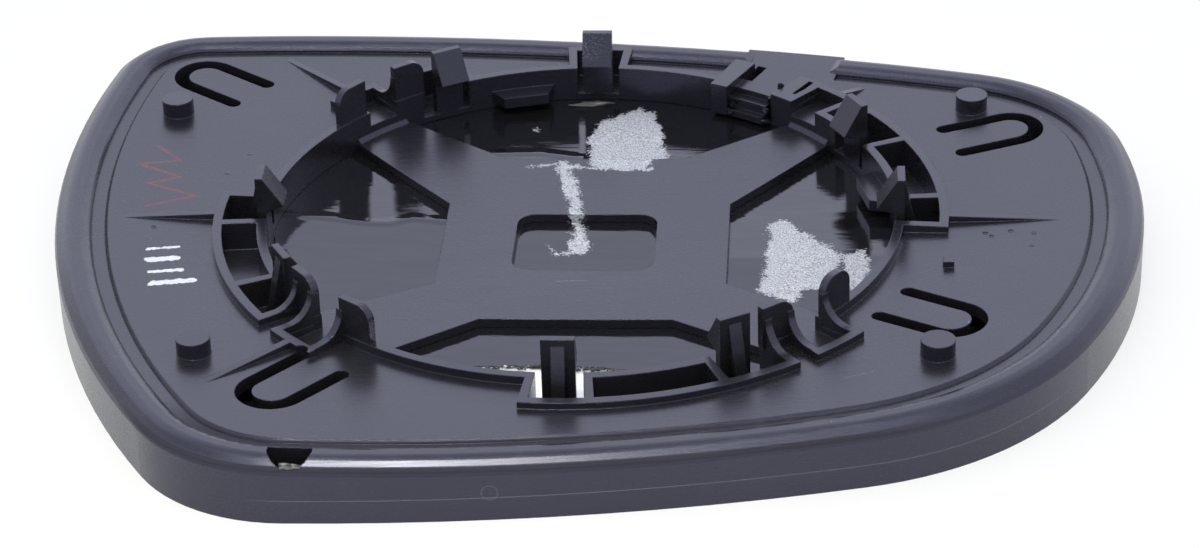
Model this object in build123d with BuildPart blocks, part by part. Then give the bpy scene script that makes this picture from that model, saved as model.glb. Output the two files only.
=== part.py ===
from build123d import *
import os
from math import atan2, cos, degrees, radians, sin

# Door mirror glass on its snap-in holder, lying glass down. X runs along the long side,
# Y towards the upper edge, Z away from the glass. The origin is the middle of the snap ring,
# on the dished back of the holder. All sizes in millimetres, all angles in degrees.

# Outline of the plate: four corners, the outward bow of each side, the rounding of each corner
back_right = (78.2, 41.1)
back_left = (-77.0, 57.6)
front_left = (-49.6, -73.0)
front_right = (60.4, -58.2)
bow_back = 10.6
bow_left = 16.1
bow_front = 4.8
bow_right = 15.0
corner_rounds = {back_right: 31.5, back_left: 15.8, front_left: 25.4, front_right: 49.7}

# Dished layers, each a sphere about one centre, with its height on the ring axis
dish_radius = 1400.0
bead_crest = 0.8
channel_level = -0.6
web_top = -2.9
web_thickness = 1.4
film_thickness = 0.2
layer_gap = 0.05
glass_thickness = 1.8
lip_below_glass = 0.2
field_thickness = 2.0
seat_level = web_top - web_thickness
film_top = seat_level - layer_gap
film_under = film_top - film_thickness
glass_back = film_under - layer_gap
glass_front = glass_back - glass_thickness
lip_bottom = glass_front - lip_below_glass

# Rim: rounded bead, shallow channel inside it, then the field
bead_width = 5.6
outer_slope = 2.2
outer_drop = 1.7
inner_slope = 0.8
inner_drop = 1.0
bead_round = 1.8
shoulder_bevel = 0.4
channel_width = 2.0
field_edge_bevel = 0.5
rim_wall = 1.8
glass_clearance = 0.2
cavity_inset = 9.6

# Snap ring
ring_inner = 47.9
ring_wall = 1.4
pocket_outer = 56.0
wall_top = 2.2
floor_level = -2.4
hook_pitch = 30.0
cell_half = 4.8
hook_width = 4.8
hook_top = 8.4
hook_tip = 1.1
barb_reach = 2.8
barb_height = 3.7
barb_under = 2.7
hook_rib = 2.0
hook_rib_foot = 2.3
finger_top = 8.1
finger_round = 2.4
finger_thickness = 1.2
finger_setback = 0.05
finger_one = (35.4, 41.8)
finger_two = (49.2, 56.0)
gusset_one = 36.5
gusset_two = 41.2
gusset_three = 49.2
gusset_round = 3.9
gusset_thickness = 1.2
sill_level = -0.2
lug_reach = 3.1
lug_angles = (8.5, 21.5)
lug_taper = 1.8
lug_top = -0.6

# Web inside the ring: a hub on four arms, with a window in the hub
hub_middle = (0.7, -2.0)
hub_half_width = 21.9
hub_half_height = 12.4
arm_angles = [(38.0, 48.6), (129.8, 142.0), (212.6, 231.4), (312.0, 327.4)]
end_window_low = -25.0
end_window_high = 25.2
end_window_half = 14.2
hub_window = (21.6, 17.4)
hub_window_middle = (0.7, -1.4)
window_round = 3.0
arm_ramp = 1.2

# Small features on the field
stud_diameter = 5.0
stud_height = 2.5
stud_places = [(-67.1, 32.4), (-52.8, -41.9), (60.6, 34.5), (53.2, -41.3)]
nub_place = (55.5, -15.2)
nub_size = 1.6
slot_width = 2.4
slot_bend = 4.1
slot_leg = 9.5
slot_places = [(-64.4, 44.7, -33.6), (66.4, 27.2, -160.2),
               (-40.1, -52.0, 52.2), (55.4, -31.3, 148.4)]
rib_thickness = 1.2
ribs = [(181.5, 55.4, 69.8), (-1.5, 55.4, 72.6), (135.0, 55.4, 73.1),
        (225.0, 55.4, 70.9), (44.5, 55.4, 60.8)]

# Lead passage: a gap in the bead, and a gap in the ring between two blocks with a stepped latch in it
passage_middle = (31.9, 51.8)
passage_heading = 76.5
passage_width = 13.3
passage_flare = 1.4
passage_depth = 1.0
left_block = (62.6, 66.2)
left_block_reach = 1.6
right_block_end = 53.5
slit_middle = (33.7, 40.7)
slit_heading = 58.0
slit_size = (5.1, 0.9)
notch_radii = (52.2, 57.2)
notch_start = 61.0
notch_floor = -0.9
latch_start = 54.5
latch_low = -3.0
step_reach = 0.4
step_top = -0.2
lip_reach = 1.5
lip_top = -1.8

# Hole broken into the front bead, straight at its back and round at its front
hole_middle = (-35.2, -69.65)
hole_width = 6.2
hole_back = 0.95
hole_floor = -1.5

# Backing film, with a bite torn out of it beside the front hook
film_inset = 5.0
film_bite = [(-27, -50), (-22, -40.5), (-18, -37.6), (-4, -36.4), (9, -37.8), (12.5, -41.5), (14, -50)]

deep = -14.0
reach = 112.0
ring_outer = ring_inner + ring_wall
pocket_inner = pocket_outer - ring_wall
sectors = [0, 90, 180, 270]


def turned(radius, angle):
    """Point at a radius and angle about the ring axis."""
    return (radius * cos(radians(angle)), radius * sin(radians(angle)))


def radial_plane(angle):
    """Upright plane through the ring axis: its x runs outwards, its y runs up."""
    a = radians(angle)
    return Plane(origin=(0, 0, 0), x_dir=(cos(a), sin(a), 0), z_dir=(sin(a), -cos(a), 0))


def facing_plane(radius, angle):
    """Upright plane square to a radius: its x runs round the ring, its y runs up."""
    a = radians(angle)
    return Plane(origin=(*turned(radius, angle), 0), x_dir=(-sin(a), cos(a), 0), z_dir=(cos(a), sin(a), 0))


def arc_sector(inner, outer, start, end):
    """Flat piece of a ring between two radii and two angles."""
    with BuildSketch() as piece:
        with BuildLine():
            CenterArc((0, 0), outer, start, end - start)
            Line(turned(outer, end), turned(inner, end))
            CenterArc((0, 0), inner, start, end - start)
            Line(turned(inner, start), turned(outer, start))
        make_face()
    return piece.sketch


def outline(inset):
    """Plate outline drawn in by an inset: the overlap of one large disc per bowed side, corners rounded."""
    with BuildSketch() as plate:
        Rectangle(2 * reach, 2 * reach)
        for start, end, bow in ((back_right, back_left, bow_back), (back_left, front_left, bow_left),
                                (front_left, front_right, bow_front), (front_right, back_right, bow_right)):
            chord = Vector(*end) - Vector(*start)
            radius = chord.length**2 / (8 * bow) + bow / 2
            inward = Vector(-chord.Y, chord.X).normalized()
            middle = (Vector(*start) + Vector(*end)) * 0.5 + inward * (radius - bow)
            with Locations(Location(middle, (0, 0, degrees(atan2(inward.Y, inward.X))))):
                Circle(radius - inset, mode=Mode.INTERSECT)
        for corner, size in corner_rounds.items():
            fillet(plate.vertices().sort_by_distance((*corner, 0))[0], size - inset)
    return plate.sketch


def upright(inset):
    """Upright body on the plate outline drawn in by an inset, standing on the lip plane."""
    with BuildPart() as body:
        with BuildSketch(Plane.XY.offset(lip_bottom)):
            add(outline(inset))
        extrude(amount=20)
    return body.part


def below(level):
    """Solid under the dished surface that crosses the ring axis at a level."""
    with BuildPart() as body:
        with BuildSketch(Plane.XY.offset(deep)):
            Rectangle(2 * reach, 2 * reach)
        extrude(amount=-2 * deep)
        with Locations((0, 0, dish_radius)):
            Sphere(dish_radius - level, rotation=(90, 0, 0), mode=Mode.SUBTRACT)
    return body.part


# Rim: the full plate up to the bead, hollowed to the channel inside the bead. The outer flank of the
# bead slopes, its inner flank is steeper, its crest is rounded over and its shoulder is bevelled.
def depth_in_plan(edge):
    """How far the middle of an edge lies inside the plate outline, seen from above."""
    point = edge @ 0.5
    return edge_line.distance_to(Vector(point.X, point.Y, 0))


def long_edges(face):
    """Edges of a face that run along the rim."""
    return face.edges().filter_by(lambda edge: edge.length > bead_width)


edge_line = outline(0).wires()[0]
with BuildPart() as channel_void:
    add(upright(bead_width))
    add(below(channel_level), mode=Mode.SUBTRACT)

# Gap cut through the bead for the lead, its sides flared
with BuildPart() as passage:
    a = radians(passage_heading)
    half = passage_width / 2
    flare = half + passage_flare
    level = (passage_middle[0]**2 + passage_middle[1]**2) / (2 * dish_radius)
    with BuildSketch(Plane(origin=(*passage_middle, level), x_dir=(sin(a), -cos(a), 0),
                           z_dir=(-cos(a), -sin(a), 0))):
        with BuildLine():
            Polyline((-half, -passage_depth), (half, -passage_depth), (half, 0), (flare, bead_crest),
                     (flare, -deep), (-flare, -deep), (-flare, bead_crest), (-half, 0), close=True)
        make_face()
    extrude(amount=2 * bead_width, both=True)

with BuildPart() as rim:
    add(upright(0))
    add(below(bead_crest), mode=Mode.INTERSECT)
    add(channel_void.part, mode=Mode.SUBTRACT)
    crest = rim.faces().filter_by(GeomType.SPHERE).sort_by(Axis.Z)[-1]
    outer_edges = long_edges(crest).filter_by(lambda edge: depth_in_plan(edge) < bead_width / 2)
    chamfer(outer_edges, length=outer_slope, length2=outer_drop, reference=crest)
    crest = rim.faces().filter_by(GeomType.SPHERE).sort_by(Axis.Z)[-1]
    inner_edges = long_edges(crest).filter_by(lambda edge: depth_in_plan(edge) > bead_width / 2)
    chamfer(inner_edges, length=inner_slope, length2=inner_drop, reference=crest)
    crest = rim.faces().filter_by(GeomType.SPHERE).sort_by(Axis.Z)[-1]
    fillet(long_edges(crest), bead_round)
    rim_edges = rim.edges().filter_by(lambda edge: edge.length > bead_width)
    upper_edges = rim_edges.filter_by(lambda edge: (edge @ 0.5).Z > lip_bottom / 2)
    chamfer(upper_edges.filter_by(lambda edge: depth_in_plan(edge) < shoulder_bevel / 2), shoulder_bevel)
    add(passage.part, mode=Mode.SUBTRACT)

# Raised field inside the channel, its edge bevelled
with BuildPart() as field:
    add(upright(bead_width + channel_width))
    add(below(0), mode=Mode.INTERSECT)
    top = field.faces().filter_by(GeomType.SPHERE).sort_by(Axis.Z)[-1]
    chamfer(long_edges(top), field_edge_bevel)

# Hollow under the field, outside the snap ring
with BuildPart() as cavity:
    add(upright(cavity_inset))
    add(below(-field_thickness), mode=Mode.INTERSECT)
    with BuildSketch(Plane.XY.offset(deep)):
        Circle(pocket_outer + ring_wall)
    extrude(amount=-2 * deep, mode=Mode.SUBTRACT)

# Seat for the glass and its film, open at the front of the mirror
with BuildPart() as glass_seat:
    add(upright(rim_wall))
    add(below(seat_level), mode=Mode.INTERSECT)

# Floor of the lead passage: the field carried out across the channel and the rim
with BuildPart() as passage_floor:
    with BuildSketch(Plane(origin=(*passage_middle, lip_bottom), x_dir=(cos(a), sin(a), 0))):
        Rectangle(4 * bead_width, 2 * flare)
    extrude(amount=-deep)
    add(upright(0), mode=Mode.INTERSECT)
    add(below(0), mode=Mode.INTERSECT)

# Web inside the ring: a disc on the dish with four side windows and one in the hub
with BuildPart() as web:
    with BuildSketch(Plane.XY.offset(lip_bottom)):
        Circle(ring_inner + ring_wall / 2)
        hub_left = hub_middle[0] - hub_half_width
        hub_right = hub_middle[0] + hub_half_width
        hub_low = hub_middle[1] - hub_half_height
        hub_high = hub_middle[1] + hub_half_height
        end_left = hub_middle[0] - end_window_half
        end_right = hub_middle[0] + end_window_half
        inner_sides = [((hub_right, hub_low), (hub_right, hub_high)),
                       ((end_right, end_window_high), (end_left, end_window_high)),
                       ((hub_left, hub_high), (hub_left, hub_low)),
                       ((end_left, end_window_low), (end_right, end_window_low))]
        for k, (first, last) in enumerate(inner_sides):
            with BuildLine():
                Polyline(first, turned(ring_outer, arm_angles[k - 1][1]), turned(reach, sectors[k]),
                         turned(ring_outer, arm_angles[k][0]), last, close=True)
            make_face(mode=Mode.SUBTRACT)
        with Locations(hub_window_middle):
            RectangleRounded(*hub_window, window_round, mode=Mode.SUBTRACT)
    extrude(amount=20)
    add(below(web_top), mode=Mode.INTERSECT)

wall_half = degrees(ring_wall / 2 / pocket_inner)
hook_angles = [start + turn for start in sectors for turn in (0, hook_pitch)]

with BuildPart() as mirror_holder:
    add(rim.part)
    add(field.part)
    add(passage_floor.part)

    # Ring walls: the inner wall all round, the pocket bodies and the short walls between the fingers
    with BuildSketch(Plane.XY.offset(lip_bottom)):
        Circle(ring_outer)
        for start in sectors:
            low = start - cell_half - wall_half
            high = start + gusset_one + wall_half
            if start == 90:
                add(arc_sector(ring_inner, pocket_outer, low, start + cell_half + wall_half))
                add(arc_sector(ring_inner, pocket_outer, start + hook_pitch - cell_half - wall_half, high))
            else:
                add(arc_sector(ring_inner, pocket_outer, low, high))
            add(arc_sector(pocket_inner, pocket_outer, start + gusset_two - wall_half,
                           start + gusset_three + wall_half))
        add(arc_sector(ring_inner, pocket_outer, *left_block))
        add(arc_sector(ring_inner, pocket_outer, gusset_three, right_block_end))
        add(arc_sector(ring_inner - ring_wall, ring_outer, right_block_end, left_block[0]),
            mode=Mode.SUBTRACT)
    extrude(amount=wall_top - lip_bottom)

    # Triangular stiffening ribs that run out over the field
    for angle, root, tip in ribs:
        with BuildSketch(radial_plane(angle)):
            with BuildLine():
                foot = tip**2 / (2 * dish_radius)
                Polyline((root, 0), (root, wall_top), (tip, foot), (tip, 0), close=True)
            make_face()
        extrude(amount=rib_thickness / 2, both=True)

    # Studs and the small square nub
    for x, y in stud_places:
        with BuildSketch(Plane.XY.offset(-field_thickness / 2)):
            with Locations((x, y)):
                Circle(stud_diameter / 2)
        extrude(amount=field_thickness / 2 + (x**2 + y**2) / (2 * dish_radius) + stud_height)
    with BuildSketch(Plane.XY):
        with Locations(nub_place):
            Rectangle(nub_size, nub_size)
    extrude(amount=wall_top)

    # Bore of the ring, then the pockets down to their floor and the recesses between the fingers
    with BuildSketch(Plane.XY.offset(deep)):
        Circle(ring_inner)
    extrude(amount=-2 * deep, mode=Mode.SUBTRACT)
    with BuildSketch(Plane.XY.offset(floor_level)):
        half = cell_half - wall_half
        for start in sectors:
            add(arc_sector(ring_inner - ring_wall, pocket_inner, start - half, start + half))
            add(arc_sector(ring_inner - ring_wall, pocket_inner, start + hook_pitch - half,
                           start + gusset_one - wall_half))
        for start in (0, 180, 270):
            low = start + cell_half + wall_half
            high = start + hook_pitch - cell_half - wall_half
            add(arc_sector(ring_outer, pocket_inner, low, high))
    extrude(amount=-deep, mode=Mode.SUBTRACT)
    with BuildSketch(Plane.XY.offset(sill_level)):
        for start in sectors:
            low = start + gusset_two + wall_half
            high = start + gusset_three - wall_half
            add(arc_sector(ring_inner - ring_wall, pocket_inner, low, high))
    extrude(amount=-deep, mode=Mode.SUBTRACT)

    # Slit in the right block, notch in the passage floor beside the left block, bed of the stepped latch
    a = radians(slit_heading)
    with BuildSketch(Plane(origin=(*slit_middle, sill_level), x_dir=(cos(a), sin(a), 0))):
        Rectangle(*slit_size)
    extrude(amount=-deep, mode=Mode.SUBTRACT)
    with BuildSketch(Plane.XY.offset(notch_floor)):
        add(arc_sector(*notch_radii, notch_start, left_block[0]))
    extrude(amount=-deep, mode=Mode.SUBTRACT)
    with BuildSketch(Plane.XY.offset(step_top)):
        add(arc_sector(ring_inner - ring_wall, ring_outer, latch_start, left_block[0]))
    extrude(amount=-deep, mode=Mode.SUBTRACT)
    with BuildSketch(Plane.XY.offset(latch_low)):
        add(arc_sector(ring_inner - ring_wall, ring_outer, right_block_end, latch_start))
    extrude(amount=-deep, mode=Mode.SUBTRACT)

    # Snap hooks: a flat blade with an inward barb and a tapered rib behind it
    for angle in hook_angles:
        with BuildSketch(radial_plane(angle)):
            with BuildLine():
                foot = floor_level - ring_wall / 4
                barb = ring_inner - barb_reach
                Polyline((ring_outer, foot), (ring_outer, hook_top), (ring_outer - hook_tip, hook_top),
                         (barb, barb_height), (ring_inner, barb_under), (ring_inner, foot), close=True)
            make_face()
        extrude(amount=hook_width / 2, both=True)
        with BuildSketch(radial_plane(angle)):
            with BuildLine():
                Polyline((ring_outer, foot), (ring_outer + hook_rib_foot, foot),
                         (ring_outer, hook_top - hook_tip), close=True)
            make_face()
        extrude(amount=hook_rib / 2, both=True)

    # Round-topped fingers in pairs, each propped by gussets with a hollow curved edge
    for start in (90, 180, 270):
        for low, high in (finger_one, finger_two):
            width = radians(high - low) * ring_outer
            with BuildSketch(facing_plane(ring_inner + finger_setback, start + (low + high) / 2)) as finger:
                with Locations((0, (finger_top + sill_level) / 2)):
                    Rectangle(width, finger_top - sill_level)
                fillet(finger.vertices().sort_by(Axis.Z)[-2:], finger_round)
            extrude(amount=finger_thickness)
    for start in sectors:
        for angle in (gusset_one, gusset_two, gusset_three):
            with BuildSketch(radial_plane(start + angle)):
                with BuildLine():
                    inner = ring_inner + ring_wall / 2
                    outer = pocket_inner + ring_wall / 2
                    if start == 0:
                        Polyline((inner, wall_top), (inner, sill_level), (outer, sill_level),
                                 (outer, wall_top), close=True)
                    else:
                        foot = (ring_outer + gusset_round, wall_top)
                        head = (ring_outer, wall_top + gusset_round)
                        Polyline(head, (inner, head[1]), (inner, sill_level), (outer, sill_level),
                                 (outer, wall_top), foot)
                        RadiusArc(foot, head, gusset_round)
                make_face()
            extrude(amount=gusset_thickness / 2, both=True)

    # Stop lugs inside the ring, one in the middle of each hook pair, and the stepped latch at the passage
    for start in sectors:
        low, high = lug_angles
        with BuildSketch(Plane.XY.offset(floor_level)):
            with BuildLine():
                Polyline(turned(ring_inner + ring_wall / 2, start + low),
                         turned(ring_inner - lug_reach, start + low + lug_taper),
                         turned(ring_inner - lug_reach, start + high - lug_taper),
                         turned(ring_inner + ring_wall / 2, start + high), close=True)
            make_face()
        extrude(amount=lug_top - floor_level)
    for inward, top in ((step_reach, step_top), (lip_reach, lip_top)):
        with BuildSketch(Plane.XY.offset(latch_low)):
            add(arc_sector(ring_inner - inward, ring_inner + ring_wall / 2, latch_start, left_block[0]))
        extrude(amount=top - latch_low)
    with BuildSketch(Plane.XY.offset(latch_low)):
        add(arc_sector(ring_inner - left_block_reach, ring_inner + ring_wall / 2, *left_block))
    extrude(amount=wall_top - latch_low)

    # Web, with a ramp where each arm meets the ring
    add(web.part)
    for start, end in arm_angles:
        level = web_top + ring_inner**2 / (2 * dish_radius)
        with BuildSketch(radial_plane(start)):
            with BuildLine():
                Polyline((ring_inner + ring_wall / 2, level - arm_ramp / 2),
                         (ring_inner + ring_wall / 2, level + arm_ramp / 2),
                         (ring_inner, level + arm_ramp / 2),
                         (ring_inner - arm_ramp, level - arm_ramp / 2), close=True)
            make_face()
        revolve(axis=Axis.Z, revolution_arc=end - start)

    # U-shaped slots that free a spring tongue in each corner of the field
    for x, y, heading in slot_places:
        b = radians(heading)
        with BuildSketch(Plane(origin=(x, y, deep), x_dir=(cos(b), sin(b), 0))):
            Circle(slot_bend + slot_width / 2)
            with Locations((slot_leg, 0)):
                Rectangle(2 * slot_leg, 4 * slot_bend, mode=Mode.SUBTRACT)
            for side in (-slot_bend, slot_bend):
                with Locations((slot_leg / 2, side)):
                    Rectangle(slot_leg, slot_width)
                with Locations((slot_leg, side)):
                    Circle(slot_width / 2)
            Circle(slot_bend - slot_width / 2, mode=Mode.SUBTRACT)
        extrude(amount=-2 * deep, mode=Mode.SUBTRACT)

    # Hole broken into the front bead
    with BuildSketch(Plane(origin=(*hole_middle, hole_floor))):
        Circle(hole_width / 2)
        with Locations((0, hole_width / 2)):
            Rectangle(hole_width, hole_width, mode=Mode.SUBTRACT)
        with Locations((0, hole_back / 2)):
            Rectangle(hole_width, hole_back)
    extrude(amount=-deep, mode=Mode.SUBTRACT)

    add(cavity.part, mode=Mode.SUBTRACT)
    add(glass_seat.part, mode=Mode.SUBTRACT)

# Glass: a convex pane whose bulging face is the mirror face
with BuildPart() as mirror_glass:
    add(upright(rim_wall + glass_clearance))
    add(below(glass_back), mode=Mode.INTERSECT)
    add(below(glass_front), mode=Mode.SUBTRACT)

# Backing film between the glass and the holder, torn beside the front hook
with BuildPart() as backing_film:
    with BuildSketch(Plane.XY.offset(lip_bottom)):
        add(outline(film_inset))
        with BuildLine():
            Spline(*film_bite)
            Line(film_bite[-1], film_bite[0])
        make_face(mode=Mode.SUBTRACT)
    extrude(amount=20)
    add(below(film_top), mode=Mode.INTERSECT)
    add(below(film_under), mode=Mode.SUBTRACT)

os.makedirs("parts", exist_ok=True)
mirror_holder.part.label = "mirror_holder"
export_step(mirror_holder.part, "parts/mirror_holder.step")
mirror_glass.part.label = "mirror_glass"
export_step(mirror_glass.part, "parts/mirror_glass.step")
backing_film.part.label = "backing_film"
export_step(backing_film.part, "parts/backing_film.step")
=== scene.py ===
import math
import random

import bpy
from mathutils import Matrix, Vector


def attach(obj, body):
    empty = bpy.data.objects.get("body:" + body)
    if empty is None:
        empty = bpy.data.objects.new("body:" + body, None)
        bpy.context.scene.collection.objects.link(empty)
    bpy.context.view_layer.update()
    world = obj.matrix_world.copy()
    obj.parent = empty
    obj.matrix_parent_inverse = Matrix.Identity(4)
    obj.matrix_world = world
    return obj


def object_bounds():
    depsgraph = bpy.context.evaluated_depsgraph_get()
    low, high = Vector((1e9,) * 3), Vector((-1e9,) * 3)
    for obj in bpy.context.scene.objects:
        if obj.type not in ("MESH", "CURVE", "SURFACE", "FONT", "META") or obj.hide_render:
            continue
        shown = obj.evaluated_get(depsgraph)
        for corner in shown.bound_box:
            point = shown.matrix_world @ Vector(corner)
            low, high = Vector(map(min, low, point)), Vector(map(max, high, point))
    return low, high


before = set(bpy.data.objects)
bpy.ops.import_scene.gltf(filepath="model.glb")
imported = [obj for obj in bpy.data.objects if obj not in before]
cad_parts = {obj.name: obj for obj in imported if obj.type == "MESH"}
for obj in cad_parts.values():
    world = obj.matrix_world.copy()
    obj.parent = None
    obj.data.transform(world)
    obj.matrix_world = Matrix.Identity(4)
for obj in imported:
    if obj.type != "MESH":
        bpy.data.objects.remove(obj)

cad_low, cad_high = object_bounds()

# Mirror glass. A convex pane, silvered on its mirror face, lying face down in the holder.
# Its back is a plain pale colour, a painted reflection of the white surroundings in the silvering seen
# through the clear glass, and its ground edge is grey-green bare glass.
mm = 0.001
mirror_silver = (0.88, 0.9, 0.91, 1)
painted_back_reflection = (0.84, 0.85, 0.87, 1)
glass_edge = (0.22, 0.3, 0.28, 1)
back_roughness = 0.3
mirror_roughness = 0.03
smudge_size = 9 * mm
smudge_roughness = 0.04
edge_to_face = (0.5, 0.8)


class Wire:
    """An output in a material's node tree that can be used in sums like a number."""

    def __init__(self, tree, socket=None):
        self.tree = tree
        self.socket = socket

    def node(self, kind, sockets, output=0, **settings):
        """Adds a node with its settings, then fills its sockets with numbers, colours or wires."""
        made = self.tree.nodes.new(kind)
        for name, value in settings.items():
            setattr(made, name, value)
        for name, value in sockets.items():
            if isinstance(value, Wire):
                self.tree.links.new(value.socket, made.inputs[name])
            else:
                made.inputs[name].default_value = value
        return Wire(self.tree, made.outputs[output])

    def maths(self, operation, first, second):
        return self.node("ShaderNodeMath", {0: first, 1: second}, operation=operation)

    def __add__(self, other):
        return self.maths("ADD", self, other)

    def __sub__(self, other):
        return self.maths("SUBTRACT", self, other)

    def __rsub__(self, other):
        return self.maths("SUBTRACT", other, self)

    def __mul__(self, other):
        return self.maths("MULTIPLY", self, other)

    def __or__(self, other):
        return self.maths("MAXIMUM", self, other)

    def __and__(self, other):
        return self.maths("MINIMUM", self, other)

    def __abs__(self):
        return self.maths("ABSOLUTE", self, 0.0)

    __radd__ = __add__
    __rmul__ = __mul__


def rise(value, low, high):
    """0 up to low and 1 past high, with a smooth step between. Low may be the larger of the two."""
    return value.node("ShaderNodeMapRange", {"Value": value, "From Min": low, "From Max": high},
                      interpolation_type="SMOOTHSTEP")


def blend(mask, below, above):
    """Colour that goes from one to another as the mask goes from 0 to 1."""
    return mask.node("ShaderNodeMix", {0: mask, 6: below, 7: above}, output=2, data_type="RGBA")


def noise(place, size, detail=2.0, roughness=0.5):
    """Cloudy value from 0 to 1 whose patches are about a size across."""
    return place.node("ShaderNodeTexNoise", {"Vector": place, "Scale": 1 / size, "Detail": detail,
                                             "Roughness": roughness})


def axis_value(vector, axis):
    """One of the three values of a vector."""
    return vector.node("ShaderNodeSeparateXYZ", {0: vector}, output=axis)


def facing_up(place):
    """How far a face looks up, from -1 for straight down to 1 for straight up."""
    return axis_value(place.node("ShaderNodeNewGeometry", {}, output="Normal"), "Z")


def new_finish(name):
    """New material: its shader, and the place on the object that its patterns start from."""
    finish = bpy.data.materials.new(name)
    finish.use_nodes = True
    place = Wire(finish.node_tree).node("ShaderNodeTexCoord", {}, output="Object")
    return finish, finish.node_tree.nodes["Principled BSDF"], place


def plug(shader, **wires):
    """Links wires to a shader's sockets, named with an underscore for each space."""
    for name, wire in wires.items():
        wire.tree.links.new(wire.socket, shader.inputs[name.replace("_", " ")])


silvered_glass, shader, place = new_finish("silvered_glass")
upward = facing_up(place)
mirror_side = rise(0 - upward, *edge_to_face)
back_side = rise(upward, *edge_to_face)
smudge = noise(place, smudge_size, detail=4)
# The upward back takes the pale colour of the painted reflection, the face down side the silver, the edge its
# grey-green.
colour = blend(mirror_side, blend(back_side, glass_edge, painted_back_reflection), mirror_silver)
roughness = back_roughness - (back_roughness - mirror_roughness) * mirror_side + smudge_roughness * smudge
plug(shader, Base_Color=colour, Metallic=mirror_side, Roughness=roughness)
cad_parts["mirror_glass"].material_slots[0].material = silvered_glass


# Backing film. Thin glossy black sheet stuck to the back of the glass, wrinkled where the
# windows of the holder leave it free. Dry silver-grey residue is smeared over parts of it.
# Places of patches, streaks and folds are on the plan seen from above, in millimetres.
film_black = (0.008, 0.0078, 0.009, 1)
film_roughness = 0.04
film_index = 1.52
# Specular tint that paints a cool blue cast onto every reflection of the film and the holder.
painted_cool_reflection_tint = (0.92, 0.94, 1.36, 1)
wave_run = {"turn": 0.05, "along": 14 * mm, "across": 6 * mm}
wave_height = 0.08 * mm
crease_run = {"turn": -0.06, "along": 9 * mm, "across": 1.6 * mm}
crease_height = 0.03 * mm
lifted_folds = [[(-46.1, 8.2), (-39.4, 7.8), (-33.8, 6.5), (-30.2, 6.6), (-26.9, 8.3), (-22.0, 7.5)],
                [(-22.0, 29.4), (-15.0, 29.6), (-8.6, 30.0), (-1.5, 28.3)]]
fold_half_width = 1.7
fold_height = 0.12 * mm
left_arm_slope = 0.966
right_arm_slope = 0.942
arm_edge = (-1 * mm, 1 * mm)
hub_edge = (10 * mm, 14 * mm)
left_sag_start, left_sag = 8 * mm, 0.05
back_sag_start, back_sag = 24 * mm, 0.075
right_sag_start, right_sag = -4 * mm, 0.06
residue_dark = (0.15, 0.155, 0.18, 1)
residue_pale = (0.66, 0.67, 0.72, 1)
residue_roughness = 0.6
residue_edge = (-0.1, 0.5)
drift_reach = 2.5 * mm
crumble_size, crumble_reach = 0.4 * mm, 3.4
waver_size, waver_reach = 2.2 * mm, 1.5
sparkle_size = 0.25 * mm
sparkle_height = 0.004 * mm
sparkle_span = (0.38, 0.6)
back_patch = [(-0.6, 24.6), (2.0, 21.6), (8.4, 21.4), (10.4, 25.2), (11.8, 28.1), (11.2, 35.7),
              (9.4, 43.0), (6.8, 44.8), (0.8, 40.8), (-0.8, 35.7)]
right_patches = [
    [(28.8, 6.2), (27.9, -9.3), (33.5, -14.1), (38.0, -13.6), (40.3, -3.6), (30.6, 8.3)],
    [(40.2, -9.8), (41.0, -14.9), (42.8, -12.9), (44.3, -8.4), (43.8, -2.2), (40.3, -3.6)],
    [(27.9, -7.0), (27.4, -14.5), (30.4, -16.8), (33.2, -18.5), (34.5, -11.0)]]
hub_streaks = [((-1.5, 10.2), (-0.2, 0.5), 1.05), ((-0.2, 0.5), (-0.2, -1.2), 1.6),
               ((-5.1, 0.4), (-3.9, -2.2), 0.25), ((-3.9, -2.2), (-1.0, -2.2), 0.6)]
residue_spots = [((-9.8, 37.3), (-9.4, 37.3), 0.4), ((35.6, -23.7), (35.4, -26.1), 0.15)]


def stretched(place, turn, along, across):
    """Place turned about the upright axis and squeezed, so that a pattern on it runs in streaks."""
    return place.node("ShaderNodeMapping", {"Vector": place, "Rotation": (0, 0, turn),
                                            "Scale": (along, across, across)},
                      vector_type="TEXTURE")


def swing(place, size, reach, **grain):
    """Cloudy value that swings about zero, half a reach each way."""
    return reach * (noise(place, size, **grain) - 0.5)


def of_vectors(operation, first, second, output=0):
    """Vector, or with the output Value a number, worked out from two vectors."""
    return first.node("ShaderNodeVectorMath", {0: first, 1: second}, output=output, operation=operation)


def in_plan(place):
    """Place seen from above, in millimetres."""
    return of_vectors("MULTIPLY", place, (1 / mm, 1 / mm, 0))


def inside_patch(plan, corners):
    """How far in millimetres a point lies inside a patch without hollow corners, anticlockwise."""
    depth = None
    for (x0, y0), (x1, y1) in zip(corners, corners[1:] + corners[:1]):
        inward = Vector((y0 - y1, x1 - x0, 0)).normalized()
        across = of_vectors("DOT_PRODUCT", plan, inward, "Value") - (inward.x * x0 + inward.y * y0)
        depth = across if depth is None else depth & across
    return depth


def off_stroke(plan, start, end):
    """Distance in millimetres from a straight stroke between two points."""
    run = Vector((end[0] - start[0], end[1] - start[1], 0))
    heading = run.normalized()
    offset = of_vectors("SUBTRACT", plan, (*start, 0))
    along = (of_vectors("DOT_PRODUCT", offset, heading, "Value") | 0.0) & run.length
    nearest = plan.node("ShaderNodeVectorMath", {0: heading, "Scale": along}, operation="SCALE")
    return of_vectors("DISTANCE", offset, nearest, "Value")


def marked(plan, strokes):
    """How far in millimetres a point lies within the nearest of some strokes of a half width."""
    depth = None
    for start, end, half_width in strokes:
        within = half_width - off_stroke(plan, start, end)
        depth = within if depth is None else depth | within
    return depth


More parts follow.
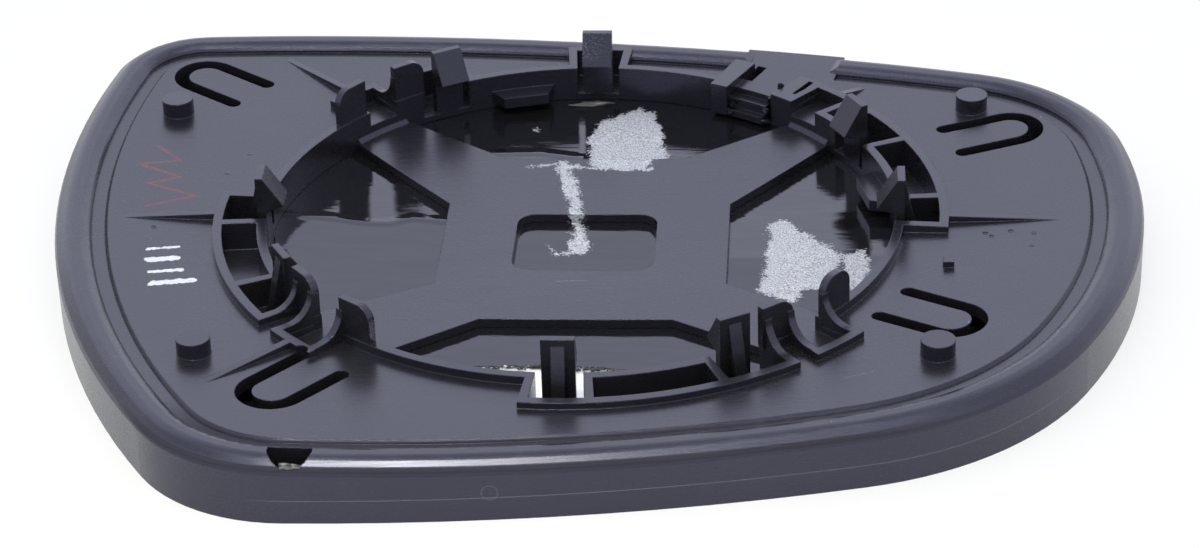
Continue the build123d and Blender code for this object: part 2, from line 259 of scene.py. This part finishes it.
def residue(place, patches, streaks):
    """Mask of dry smears in patches and streaks, with ragged crumbling edges."""
    drift = place.node("ShaderNodeTexNoise", {"Vector": place, "Scale": 1 / drift_reach, "Detail": 3.0},
                       output="Color")
    drift = of_vectors("SUBTRACT", drift, (0.5, 0.5, 0.5))
    drift = place.node("ShaderNodeVectorMath", {0: drift, "Scale": drift_reach}, operation="SCALE")
    plan = in_plan(of_vectors("ADD", place, drift))
    deepest = marked(plan, streaks)
    for corners in patches:
        deepest = deepest | inside_patch(plan, corners)
    crumbling = swing(place, crumble_size, crumble_reach, detail=3, roughness=0.7)
    return rise(deepest + crumbling + swing(place, waver_size, waver_reach), *residue_edge)


def glitter(place):
    """Fine cloudy value that the dry residue sparkles by."""
    return noise(place, sparkle_size, detail=4, roughness=0.8)


def dried(sparkle):
    """Colour of the dry residue for a value of its sparkle."""
    return blend(rise(sparkle, *sparkle_span), residue_dark, residue_pale)


gloss_film, shader, place = new_finish("gloss_black_film")
smear = residue(place, [back_patch] + right_patches, hub_streaks + residue_spots)
sparkle = glitter(place)
waves = noise(stretched(place, **wave_run), 1)
creases = noise(stretched(place, **crease_run), 1, detail=3)
fold_strokes = [(start, end, fold_half_width) for fold in lifted_folds for start, end in zip(fold, fold[1:])]
ridge = rise(marked(in_plan(place), fold_strokes), 0.0, fold_half_width)
x, y = axis_value(place, "X"), axis_value(place, "Y")
back_window = rise(y + left_arm_slope * x, *arm_edge) * rise(y - right_arm_slope * x, *arm_edge)
left_window = (1 - back_window) * rise(0 - x, *hub_edge)
right_window = (1 - back_window) * rise(x, *hub_edge)
sag = (((y - left_sag_start) | 0.0) * left_window * left_sag
       + ((y - back_sag_start) | 0.0) * back_window * back_sag
       + ((y - right_sag_start) | 0.0) * right_window * right_sag)
wrinkles = waves * wave_height + creases * crease_height + ridge * fold_height
height = wrinkles - sag + sparkle * sparkle_height
bump = place.node("ShaderNodeBump", {"Height": height, "Distance": 1.0, "Strength": 1.0}, output="Normal")
plug(shader, Base_Color=blend(smear, film_black, dried(sparkle)), Normal=bump,
     Roughness=film_roughness + residue_roughness * smear)
shader.inputs["IOR"].default_value = film_index
# Painted cool blue cast on the film's reflections.
shader.inputs["Specular Tint"].default_value = painted_cool_reflection_tint
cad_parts["backing_film"].material_slots[0].material = gloss_film


# Holder. One black moulding in a satin finish, scuffed and handled, with the dry residue
# smeared on over its web, a zigzag of orange wax crayon and plain dabs of white paint.
# Places of marks are on the plan, and levels are heights, all in millimetres.
holder_black = (0.012, 0.0118, 0.0138, 1)
holder_worn = (0.016, 0.0157, 0.018, 1)
holder_index = 1.58
satin_roughness = 0.27
wear_span = (0.35, 0.7)
cloud_size, cloud_roughness = 25 * mm, 0.1
rub_run = {"turn": 0.13, "along": 14 * mm, "across": 0.5 * mm}
rub_height, rub_roughness = 0.0006 * mm, 0.12
grain_size, grain_height = 0.12 * mm, 0.0006 * mm
edge_round = 0.25 * mm
upright_lean = (0.2, 0.4)
flat_lean = (0.6, 0.4)
web_streaks = [((-9.5, 22.6), (-4.8, 24.0), 0.4), ((-5.0, 22.9), (9.5, 21.9), 0.65),
               ((-4.6, 23.6), (-3.0, 18.3), 1.1), ((-3.0, 18.3), (-1.5, 10.2), 1.1),
               ((-1.5, 10.2), (-0.8, 5.0), 1.05)]
smeared_roughness = 0.4
wax_orange = (0.24, 0.06, 0.035, 1)
wax_cover = 0.5
wax_roughness = 0.2
zigzag = [(-68.5, 20.8), (-64.3, 16.4), (-70.5, 14.8), (-63.5, 11.1), (-68.0, 8.8), (-60.2, 5.3),
          (-67.1, 1.5)]
crayon_half_width = 0.38
crayon_ragged = {"size": 0.5 * mm, "reach": 0.5, "detail": 3}
crayon_edge = 0.2
paint_white = (0.68, 0.7, 0.74, 1)
paint_dabs = [((-64.6, -11.9), (-60.3, -10.9), 0.4), ((-63.9, -15.2), (-59.9, -14.3), 0.75),
              ((-63.0, -18.8), (-58.6, -17.8), 0.5), ((-62.2, -22.2), (-56.4, -20.8), 0.75)]
dab_ragged = {"size": 0.8 * mm, "reach": 1.0, "detail": 3}
dab_edge = 0.12
# Grey of the real scratches and scuffs, also used for the painted highlights on the parting line and the
# ejector scar.
scratch_and_glint_grey = (0.16, 0.16, 0.18, 1)
scratches = [((-3.0, -13.5), (1.5, -13.3), 0.1), ((40.0, -47.5), (44.0, -45.9), 0.06)]
scratch_ragged = {"size": 0.4 * mm, "reach": 0.3}
scratch_edge = 0.06
scratch_strength = 0.8
pits = [(61.3, -5.8), (62.2, -6.8), (65.1, -5.4), (68.5, -6.3), (68.0, -10.0), (-64.9, -5.1),
        (-53.7, 19.4), (-56.3, 12.9)]
pit_outer, pit_inner = 0.55, 0.1
pit_height = 0.22 * mm
dust_grey = (0.4, 0.4, 0.42, 1)
dust_spacing = 5 * mm
dust_radius, dust_edge = 0.028, 0.01
dust_drift = 11 * mm
dusty_span = (0.5, 0.56)
front_side = (40, 48)
# Parting line and ejector scar on the front side are drawn as pale lines: painted highlights of the light
# that their small edges catch.
parting_glint_band = {"middle": -3.0, "half_width": 0.09, "edge": 0.05}
parting_glint_start = (-42, -36)
parting_glint_strength = 0.5
scar_x, scar_level = -8.0, -2.2
scar_glint_ring = {"middle": 1.1, "half_width": 0.16, "edge": 0.12}
scar_glint_strength = 0.22
back_hook_foot, back_hook_top = (38, 42), (4.2, 5.4)
back_hook_width = {"middle": 0.0, "half_width": 3.2, "edge": 0.4}
scuff_end = (2.4, -1.6)
scuff_size = 0.3 * mm
scuff_span = (0.52, 0.64)
scuff_strength = 0.7
dish_rise = 2800
channel_depth = {"middle": -0.6, "half_width": 0.5, "edge": 0.25}
channel_front = (52, 64)
channel_roughness = 0.55


def off_spots(plan, spots):
    """Distance in millimetres from the nearest of some spots."""
    nearest = None
    for spot in spots:
        off = of_vectors("DISTANCE", plan, (*spot, 0), "Value")
        nearest = off if nearest is None else nearest & off
    return nearest


def band(value, middle, half_width, edge):
    """1 where a value is near a middle, falling to 0 over an edge at a half width from it."""
    return rise(half_width - abs(value - middle), 0.0, edge)


satin_plastic, shader, place = new_finish("satin_black_plastic")
plan = in_plan(place)
x, y, z = (axis_value(place, axis) * (1 / mm) for axis in "XYZ")
upright = 1 - rise(abs(facing_up(place)), *upright_lean)
smear = residue(place, [back_patch], web_streaks)
clouds = noise(place, cloud_size, detail=4)
grain = noise(place, grain_size)
rubbed = noise(stretched(place, **rub_run), 1, detail=3)
crayon_strokes = [(start, end, crayon_half_width) for start, end in zip(zigzag, zigzag[1:])]
wax = rise(marked(plan, crayon_strokes) + swing(place, **crayon_ragged), 0.0, crayon_edge)
dabs = rise(marked(plan, paint_dabs) + swing(place, **dab_ragged), 0.0, dab_edge) * rise(upright, *flat_lean)
scratch = rise(marked(plan, scratches) + swing(place, **scratch_ragged), 0.0, scratch_edge)
pit = rise(off_spots(plan, pits), pit_outer, pit_inner)
fleck = place.node("ShaderNodeTexVoronoi", {"Vector": place, "Scale": 1 / dust_spacing})
dusty = rise(noise(place, dust_drift), *dusty_span) * (1 - upright)
dust = rise(dust_radius - fleck, 0.0, dust_edge) * dusty
in_front = rise(0 - y, *front_side)
# Painted highlight along the parting line on the front side, fading in from the left.
parting_glint = band(z, **parting_glint_band) * rise(x, *parting_glint_start) * in_front
side_view = place.node("ShaderNodeCombineXYZ", {"X": x, "Z": z})
# Painted highlight round the rim of the ejector scar.
off_scar = of_vectors("DISTANCE", side_view, (scar_x, 0, scar_level), "Value")
scar_glint = band(off_scar, **scar_glint_ring) * in_front
hook_face = rise(z, *back_hook_top) * rise(y, *back_hook_foot) * band(x, **back_hook_width)
scuffs = rise(noise(place, scuff_size, detail=3, roughness=0.7), *scuff_span) * rise(x, *scuff_end)
level = z - (x * x + y * y) * (1 / dish_rise)
channel = band(level, **channel_depth) * rise(0 - y, *channel_front) * (1 - upright)
# Pale marks: real scratches, scuffs on the back hook, and the painted highlights of the parting line and
# scar.
painted_side_glints = upright * (parting_glint * parting_glint_strength + scar_glint * scar_glint_strength)
pale_scratches_and_painted_glints = painted_side_glints | scratch * scratch_strength | hook_face * scuffs * scuff_strength
rounded = place.node("ShaderNodeBevel", {"Radius": edge_round}, samples=3)
height = grain * grain_height + pit * pit_height + rubbed * rub_height
bump = place.node("ShaderNodeBump", {"Height": height, "Distance": 1.0, "Normal": rounded}, output="Normal")
colour = blend(rise(clouds, *wear_span), holder_black, holder_worn)
colour = blend(pale_scratches_and_painted_glints, colour, scratch_and_glint_grey)
colour = blend(wax * wax_cover, colour, wax_orange)
colour = blend(dust, colour, dust_grey)
colour = blend(dabs, colour, paint_white)
colour = blend(smear, colour, dried(glitter(place)))
handled = cloud_roughness * (clouds - 0.5) + rub_roughness * (rubbed - 0.5)
covered = smeared_roughness * smear + wax_roughness * wax + channel_roughness * channel
plug(shader, Base_Color=colour, Normal=bump, Roughness=satin_roughness + handled + covered)
shader.inputs["IOR"].default_value = holder_index
# Painted cool blue cast on the holder's reflections.
shader.inputs["Specular Tint"].default_value = painted_cool_reflection_tint
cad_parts["mirror_holder"].material_slots[0].material = satin_plastic


# Crumbs along the tear. Bits of film and dried adhesive, flat and irregular, that cling to
# the ragged edge of the film on both sides of the front hook.
crumb_radius = 0.5 * mm
crumb_unevenness = 0.13 * mm
crumb_shape = (1.0, 0.7, 0.5)
crumb_black = (0.004, 0.004, 0.005, 1)
crumb_pale = (0.5, 0.51, 0.54, 1)
crumb_fleck = 0.7 * mm
crumb_pale_span = (0.6, 0.66)
crumb_roughness, crumb_fleck_roughness = 0.25, 0.3
crumbs_per_stretch = 22
crumb_sizes = (0.4, 1.0)
crumb_squash = 0.8
crumb_lift = 0.2
full_turn = 6.28
tear_width = (-0.8, 0.25)
film_tear = [(-18.0, -37.6), (-11.0, -36.8), (-4.0, -36.4), (2.5, -36.7), (9.0, -37.8)]
film_level = -4.35


def one_crumb(name, seed):
    """An irregular flat crumb about a millimetre across, in the middle of the scene."""
    bpy.ops.object.select_all(action="DESELECT")
    bpy.ops.mesh.primitive_ico_sphere_add(subdivisions=2, radius=crumb_radius)
    bpy.context.object.name = name
    bpy.ops.object.mode_set(mode="EDIT")
    bpy.ops.mesh.select_all(action="SELECT")
    bpy.ops.transform.vertex_random(offset=crumb_unevenness, seed=seed)
    bpy.ops.transform.resize(value=crumb_shape)
    bpy.ops.object.mode_set(mode="OBJECT")
    return bpy.context.object


def strewn(pattern, name, places):
    """Copies of a pattern, each with its own mesh, at places with a turn and a size, made one piece."""
    copies = []
    for place, turn, size in places:
        bpy.ops.object.select_all(action="DESELECT")
        pattern.select_set(True)
        bpy.context.view_layer.objects.active = pattern
        bpy.ops.object.duplicate(linked=False)
        copy = bpy.context.object
        copy.location = Vector(place) * mm
        copy.rotation_euler = turn
        copy.scale = size
        copies.append(copy)
    bpy.ops.object.select_all(action="DESELECT")
    for copy in copies:
        copy.select_set(True)
    bpy.context.view_layer.objects.active = copies[0]
    bpy.ops.object.transform_apply(location=True, rotation=True, scale=True)
    bpy.ops.object.join()
    bpy.data.objects.remove(pattern)
    piece = bpy.context.object
    bpy.context.scene.cursor.location = (0, 0, 0)
    bpy.ops.object.origin_set(type="ORIGIN_CURSOR")
    piece.name = name
    return piece


chance = random.Random(11)
crumb_places = []
for (x0, y0), (x1, y1) in zip(film_tear, film_tear[1:]):
    for step in range(crumbs_per_stretch):
        share = (step + chance.random()) / crumbs_per_stretch
        crumb_x = x0 + (x1 - x0) * share
        crumb_y = y0 + (y1 - y0) * share + chance.uniform(*tear_width)
        size = chance.uniform(*crumb_sizes)
        crumb_z = film_level + (crumb_x * crumb_x + crumb_y * crumb_y) / dish_rise + crumb_lift * size
        turn = (0, 0, chance.uniform(0, full_turn))
        crumb_places.append(((crumb_x, crumb_y, crumb_z), turn, (size, size, size * crumb_squash)))
crumbs = strewn(one_crumb("crumb", seed=3), "film_crumbs", crumb_places)
torn_crumb, shader, place = new_finish("torn_crumb")
fleck = noise(place, crumb_fleck, detail=3)
plug(shader, Base_Color=blend(rise(fleck, *crumb_pale_span), crumb_black, crumb_pale),
     Roughness=crumb_roughness + crumb_fleck_roughness * fleck)
crumbs.data.materials.clear()
crumbs.data.materials.append(torn_crumb)
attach(crumbs, "root")


# Flash at the latch. Ragged stubs of the same black plastic, left where the latch broke off at
# the right block of the lead passage, and two small ones at the left block.
stub_size = 1 * mm
stub_unevenness = 0.07 * mm
tear_height = 0.25 * mm
tear_slant = (0.4, 0.25, 0.9)
stub_places = [((30.1, 41.6, 1.7), (0, 0, 0.9), (0.75, 0.8, 2.3)),
               ((28.6, 40.2, 0.4), (0.3, 0.2, 0.3), (1.3, 0.7, 0.9)),
               ((28.0, 38.9, -0.9), (0.1, 0.3, 0.8), (1.5, 1.0, 0.9)),
               ((27.6, 37.9, -2.3), (0.4, 0.0, 0.2), (1.4, 0.8, 0.7)),
               ((29.4, 41.1, 0.9), (0.2, 0.5, 1.7), (1.2, 0.6, 0.6)),
               ((22.3, 41.3, -0.9), (0, 0.2, 0.6), (0.7, 0.9, 0.8)),
               ((21.9, 40.6, -2.2), (0.3, 0, 0.4), (0.9, 0.8, 0.7))]


def one_stub(name, seed):
    """A broken block of plastic, its top torn to a slant and its faces uneven."""
    bpy.ops.object.select_all(action="DESELECT")
    bpy.ops.mesh.primitive_cube_add(size=stub_size)
    bpy.context.object.name = name
    bpy.ops.object.mode_set(mode="EDIT")
    bpy.ops.mesh.select_all(action="SELECT")
    bpy.ops.mesh.subdivide(number_cuts=3)
    bpy.ops.mesh.bisect(plane_co=(0, 0, tear_height), plane_no=tear_slant, use_fill=True, clear_outer=True)
    bpy.ops.mesh.select_all(action="SELECT")
    bpy.ops.transform.vertex_random(offset=stub_unevenness, seed=seed)
    bpy.ops.object.mode_set(mode="OBJECT")
    return bpy.context.object


flash = strewn(one_stub("stub", seed=5), "latch_flash", stub_places)
flash.data.materials.clear()
flash.data.materials.append(satin_plastic)
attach(flash, "root")


# Broken lip of the hole in the front bead. A torn chunk of stress-whitened plastic that still
# hangs on the front wall of the hole.
lip_size = (2.8, 1.5, 1.9)
lip_place = Vector((-34.9, -71.9, 1.5)) * mm
lip_turn = math.radians(-4)
lip_unevenness = 0.14 * mm
lip_tear_place = (0, 0.2 * mm, 0.5 * mm)
lip_tear_slant = (0.2, 0.6, 0.8)
lip_dark = (0.03, 0.03, 0.034, 1)
lip_whitened = (0.24, 0.23, 0.225, 1)
lip_fleck = 0.7 * mm
lip_white_span = (0.4, 0.6)
lip_roughness, lip_fleck_roughness = 0.45, 0.2
bpy.ops.object.select_all(action="DESELECT")
bpy.ops.mesh.primitive_cube_add(size=1 * mm)
lip = bpy.context.object
lip.name = "hole_lip"
bpy.ops.object.mode_set(mode="EDIT")
bpy.ops.mesh.select_all(action="SELECT")
bpy.ops.transform.resize(value=lip_size)
bpy.ops.mesh.subdivide(number_cuts=5)
bpy.ops.mesh.bisect(plane_co=lip_tear_place, plane_no=lip_tear_slant, use_fill=True, clear_outer=True)
bpy.ops.mesh.select_all(action="SELECT")
bpy.ops.transform.vertex_random(offset=lip_unevenness, seed=2)
bpy.ops.transform.rotate(value=lip_turn, orient_axis="Z", center_override=(0, 0, 0))
bpy.ops.transform.translate(value=lip_place)
bpy.ops.object.mode_set(mode="OBJECT")
whitened_plastic, shader, place = new_finish("whitened_plastic")
torn = noise(place, lip_fleck, detail=4)
plug(shader, Base_Color=blend(rise(torn, *lip_white_span), lip_dark, lip_whitened),
     Roughness=lip_roughness + lip_fleck_roughness * torn)
lip.data.materials.append(whitened_plastic)
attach(lip, "root")


# Shred at the foot of the back hook. A curled sliver of film, torn loose and left lying
# on the film in front of the hook, with pale streaks along its creases as a painted highlight.
shred_length, shred_width, shred_thickness = 8.0, 1.0, 0.06 * mm
shred_end = 3.9 * mm
shred_taper, shred_taper_reach = 0.1, 3.2 * mm
shred_unevenness = 0.3 * mm
shred_tilt, shred_turn = math.radians(-38), math.radians(-7)
shred_place = Vector((-1.1, 45.6, -3.25)) * mm
shred_dark = (0.035, 0.034, 0.034, 1)
shred_highlight_pale = (0.36, 0.35, 0.33, 1)
shred_crease_run = {"turn": 0.1, "along": 4 * mm, "across": 0.6 * mm}
shred_highlight_span = (0.42, 0.6)
shred_highlight_from = (-2.6 * mm, 0.4 * mm)
shred_roughness, shred_crease_roughness = 0.25, 0.3
bpy.ops.object.select_all(action="DESELECT")
bpy.ops.mesh.primitive_grid_add(x_subdivisions=24, y_subdivisions=6, size=1 * mm)
shred = bpy.context.object
shred.name = "hook_shred"
bpy.ops.object.mode_set(mode="EDIT")
bpy.ops.mesh.select_all(action="SELECT")
bpy.ops.transform.resize(value=(shred_length, shred_width, 1.0))
bpy.ops.mesh.select_all(action="DESELECT")
bpy.ops.object.mode_set(mode="OBJECT")
for corner in shred.data.vertices:
    corner.select = abs(corner.co.x) > shred_end
bpy.ops.object.mode_set(mode="EDIT")
bpy.ops.transform.resize(value=(1.0, shred_taper, 1.0), center_override=(0, 0, 0), use_proportional_edit=True,
                         proportional_edit_falloff="LINEAR", proportional_size=shred_taper_reach)
bpy.ops.mesh.select_all(action="SELECT")
bpy.ops.transform.vertex_random(offset=shred_unevenness, seed=9)
bpy.ops.mesh.vertices_smooth(factor=0.5, repeat=2)
bpy.ops.transform.rotate(value=shred_tilt, orient_axis="X", center_override=(0, 0, 0))
bpy.ops.transform.rotate(value=shred_turn, orient_axis="Z", center_override=(0, 0, 0))
bpy.ops.transform.translate(value=shred_place)
bpy.ops.object.mode_set(mode="OBJECT")
thicken = shred.modifiers.new("thickness", "SOLIDIFY")
thicken.thickness = shred_thickness
bpy.ops.object.modifier_apply(modifier=thicken.name)
bpy.ops.object.shade_smooth()
shred_finish, shader, place = new_finish("shred_painted_highlight")
crease = noise(stretched(place, **shred_crease_run), 1, detail=3)
# Painted highlight: pale streaks where the creases would catch the light, on the left part only.
shred_highlight = rise(crease, *shred_highlight_span) * rise(axis_value(place, "X"), *shred_highlight_from)
plug(shader, Base_Color=blend(shred_highlight, shred_dark, shred_highlight_pale),
     Roughness=shred_roughness + shred_crease_roughness * crease)
shred.data.materials.append(shred_finish)
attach(shred, "root")


# Floor. A plain white sheet of paper that the part lies on, large enough to fill the view.
# It glows in part where the lens or a reflection sees it, and keeps the part's shadow.
floor_level = cad_low.z
floor_size = 6.0
floor_white = (0.92, 0.92, 0.92, 1)
floor_roughness = 0.9
floor_sheen = 0.1
glow_share = 0.7
bpy.ops.object.select_all(action="DESELECT")
bpy.ops.mesh.primitive_plane_add(size=floor_size, location=(0, 0, floor_level))
floor = bpy.context.object
floor.name = "white_floor"
white_paper, shader, place = new_finish("white_paper")
shader.inputs["Base Color"].default_value = floor_white
shader.inputs["Roughness"].default_value = floor_roughness
shader.inputs["Specular IOR Level"].default_value = floor_sheen
seen = place.node("ShaderNodeLightPath", {}, output="Is Camera Ray")
for bounce in ("Is Glossy Ray", "Is Transmission Ray"):
    seen = seen | place.node("ShaderNodeLightPath", {}, output=bounce)
glow = place.node("ShaderNodeEmission", {"Color": (1, 1, 1, 1), "Strength": 1.0})
lit = Wire(white_paper.node_tree, shader.outputs[0])
paper = place.node("ShaderNodeMixShader", {0: seen * glow_share, 1: lit, 2: glow})
plug(white_paper.node_tree.nodes["Material Output"], Surface=paper)
floor.data.materials.append(white_paper)


# Light. Cool white surroundings all round, a large softbox behind the part that its upper faces
# mirror to the lens, a smaller one overhead, and a strip lamp with a narrow beam on the front edge.
surroundings_colour = (0.96, 0.99, 1.06, 1)
surroundings_strength = 0.84


def hang_lamp(name, place, aim, size, spread, power, colour):
    """A flat rectangular lamp turned to face a point, its beam fanning out by an angle in degrees."""
    facing = (Vector(place) - Vector(aim)).to_track_quat("Z", "Y").to_euler()
    bpy.ops.object.light_add(type="AREA", location=place, rotation=facing)
    lamp = bpy.context.object
    lamp.name = name
    lamp.data.shape = "RECTANGLE"
    lamp.data.size, lamp.data.size_y = size
    lamp.data.spread = math.radians(spread)
    lamp.data.energy = power
    lamp.data.color = colour
    lamp.visible_camera = False


world = bpy.data.worlds.new("white_studio")
world.use_nodes = True
world.node_tree.nodes["Background"].inputs["Color"].default_value = surroundings_colour
world.node_tree.nodes["Background"].inputs["Strength"].default_value = surroundings_strength
bpy.context.scene.world = world
hang_lamp("back_softbox", place=(0.0, 1.15, 0.72), aim=(0, 0, 0), size=(2.8, 1.5), spread=180, power=7.0,
          colour=(0.86, 0.9, 1.06))
hang_lamp("top_softbox", place=(0.0, -0.15, 1.3), aim=(0, 0, 0), size=(1.4, 0.7), spread=180, power=3.4,
          colour=(0.96, 0.98, 1.0))
hang_lamp("front_strip", place=(-0.045, -0.27, 0.6), aim=(-0.022, -0.074, 0), size=(0.11, 0.15), spread=24,
          power=0.042, colour=(1.0, 0.985, 0.74))


# Camera. A long lens that looks down on the back of the holder from the front edge, a little
# from the right and slightly rolled.
camera_elevation = math.radians(29.84)
camera_yaw = math.radians(4.16)
camera_roll = math.radians(-1.83)
camera_distance = 0.5145
camera_target = Vector((3.9, -16.2, 0)) * mm
camera_lens = 103.8
camera_sensor = 36
nearest_seen = 0.01
away = Vector((math.sin(camera_yaw) * math.cos(camera_elevation),
               -math.cos(camera_yaw) * math.cos(camera_elevation), math.sin(camera_elevation)))
level_right = Vector((math.cos(camera_yaw), math.sin(camera_yaw), 0))
level_up = away.cross(level_right)
right = level_right * math.cos(camera_roll) + level_up * math.sin(camera_roll)
up = level_up * math.cos(camera_roll) - level_right * math.sin(camera_roll)
bpy.ops.object.camera_add()
camera = bpy.context.object
camera.data.lens = camera_lens
camera.data.sensor_width = camera_sensor
camera.data.clip_start = nearest_seen
camera.matrix_world = Matrix.Translation(camera_target + away * camera_distance) @ Matrix(
    (right, up, away)).transposed().to_4x4()
bpy.context.scene.camera = camera
bpy.context.scene.view_settings.view_transform = "Standard"
